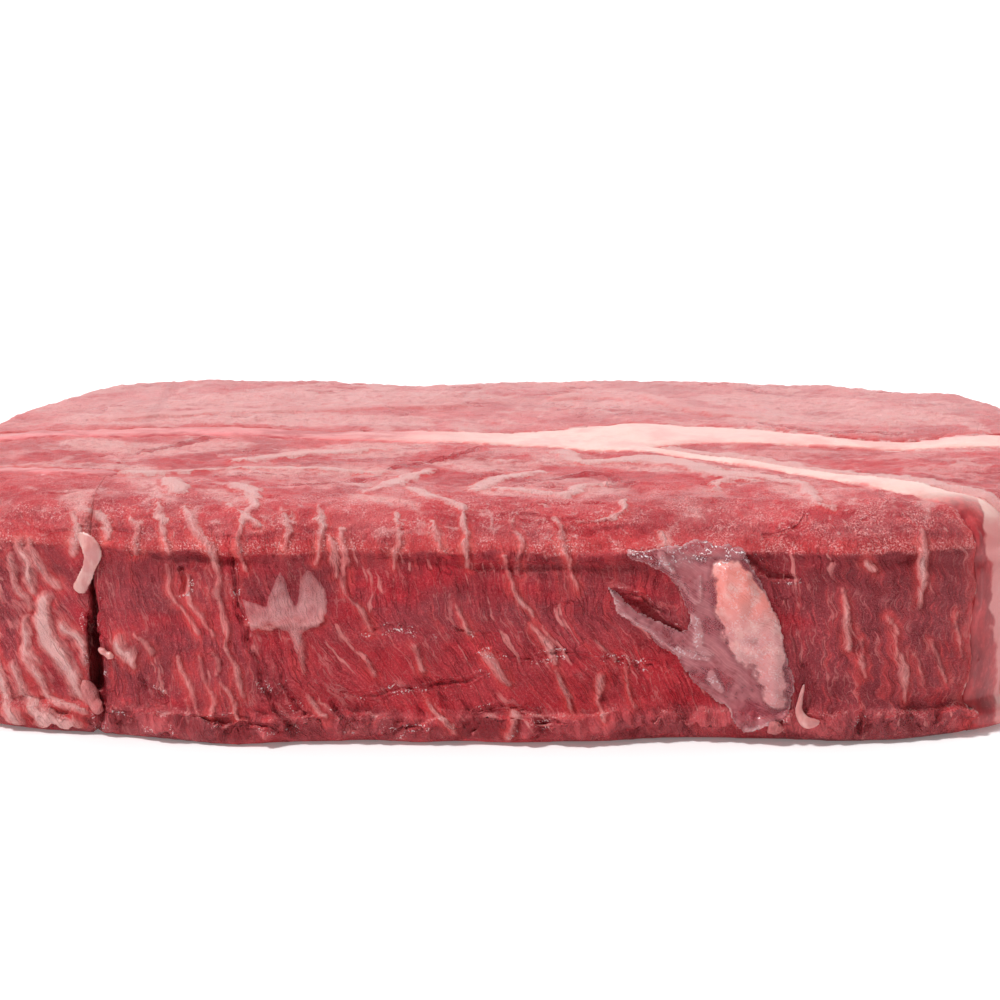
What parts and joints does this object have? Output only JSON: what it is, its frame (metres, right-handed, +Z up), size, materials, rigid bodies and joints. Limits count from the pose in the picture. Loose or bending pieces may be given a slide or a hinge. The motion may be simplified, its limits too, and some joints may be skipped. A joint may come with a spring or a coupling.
{
  "type": "chuck roast",
  "caption": "Thick slab of raw boneless beef: marbled muscles parted by seams of fat, a slumped top edge, a lip of trimmings round the foot and a flap of silver skin.",
  "frame": {"origin": "on the flat face that the slab rests on, under the middle of its box", "axes": "+X along the slab's length, +Y from the long front side to the back, +Z up through its thickness"},
  "size_m": [0.2668, 0.1686, 0.0524],
  "materials": {
    "lean_beef": "raw lean beef, moist, with thin pale marbling that follows the upright fibres",
    "beef_fat": "raw beef fat, creamy white to pale pink, waxy and slightly moist",
    "silver_skin": "wet translucent membrane, grey-pink over the lean, with a pale lump of fat"
  },
  "bodies": {
    "root": {"front_muscle": "lean_beef", "end_muscle": "lean_beef", "wedge_muscle": "lean_beef", "rear_muscle": "lean_beef", "fat_seam": "beef_fat", "end_fat_seam": "beef_fat", "silver_skin": "silver_skin"}
  },
  "joints": []
}
